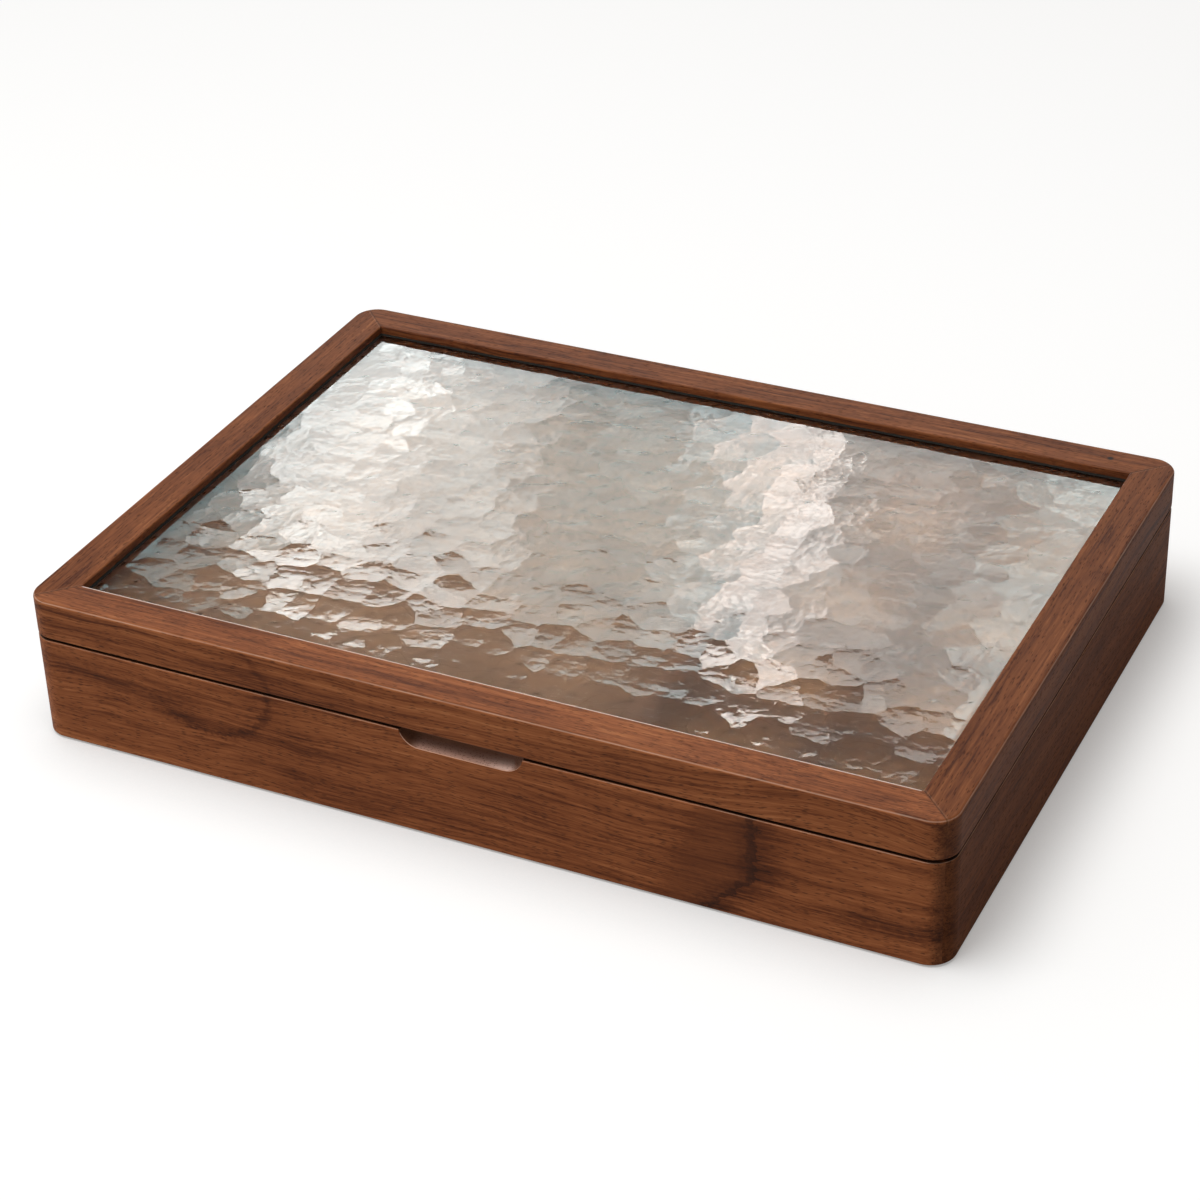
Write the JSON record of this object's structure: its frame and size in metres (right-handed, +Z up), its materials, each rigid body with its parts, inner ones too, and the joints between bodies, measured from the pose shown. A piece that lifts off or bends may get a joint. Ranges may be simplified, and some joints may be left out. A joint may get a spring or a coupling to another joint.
{
  "type": "earring box",
  "caption": "Low mitred walnut earring box with a hinged lid framing hammered glass, a finger scoop in front, padded rolls and small compartments inside.",
  "frame": {"origin": "on the surface that the box stands on, under the middle of its bounding box, hinge barrels included", "axes": "+X from left to right along the front, +Y from the front face with the finger scoop to the hinged back, +Z up"},
  "size_m": [0.3, 0.2168, 0.05],
  "materials": {
    "walnut_case": "oiled satin walnut",
    "walnut_lid": "oiled satin walnut",
    "walnut_bead": "oiled satin walnut",
    "walnut_divider": "oiled satin walnut",
    "ply_bottom": "matte walnut veneer",
    "suede_lining": "matte suede",
    "suede_roll": "matte suede",
    "felt_pad": "matte felt",
    "bumper": "matte rubber",
    "glazing_tape": "matte rubber",
    "brass_hinge": "satin brass",
    "brass_screw": "satin brass",
    "hammered_glass": "hammered glass, polished"
  },
  "bodies": {
    "case": {"wall_front": "walnut_case", "wall_back": "walnut_case", "wall_left": "walnut_case", "wall_right": "walnut_case", "bottom_panel": "ply_bottom", "foot_pads": "felt_pad", "lid_bumpers": "bumper", "floor_lining": "suede_lining", "lining_front": "suede_lining", "lining_back": "suede_lining", "lining_left": "suede_lining", "lining_right": "suede_lining", "partition": "walnut_divider", "slat_long": "walnut_divider", "slat_cross_1": "walnut_divider", "slat_cross_2": "walnut_divider", "slat_cross_3": "walnut_divider", "roll_1": "suede_roll", "roll_2": "suede_roll", "roll_3": "suede_roll", "roll_4": "suede_roll", "roll_5": "suede_roll", "roll_6": "suede_roll", "roll_7": "suede_roll", "base_leaf_l": "brass_hinge", "base_leaf_r": "brass_hinge", "base_screws": "brass_screw", "hinge_pin_l": "brass_hinge", "hinge_pin_r": "brass_hinge"},
    "lid": {"lid_front": "walnut_lid", "lid_back": "walnut_lid", "lid_left": "walnut_lid", "lid_right": "walnut_lid", "glass_pane": "hammered_glass", "glazing_tape": "glazing_tape", "bead_front": "walnut_bead", "bead_back": "walnut_bead", "bead_left": "walnut_bead", "bead_right": "walnut_bead", "bead_brads": "brass_screw", "lid_leaf_l": "brass_hinge", "lid_leaf_r": "brass_hinge", "lid_screws": "brass_screw"}
  },
  "joints": [
    {"name": "lid_hinge", "type": "hinge", "parent": "case", "child": "lid", "pos_m": [0, 0.10655, 0.0364], "axis": [-1, 0, 0], "range_deg": [0, 95]}
  ]
}
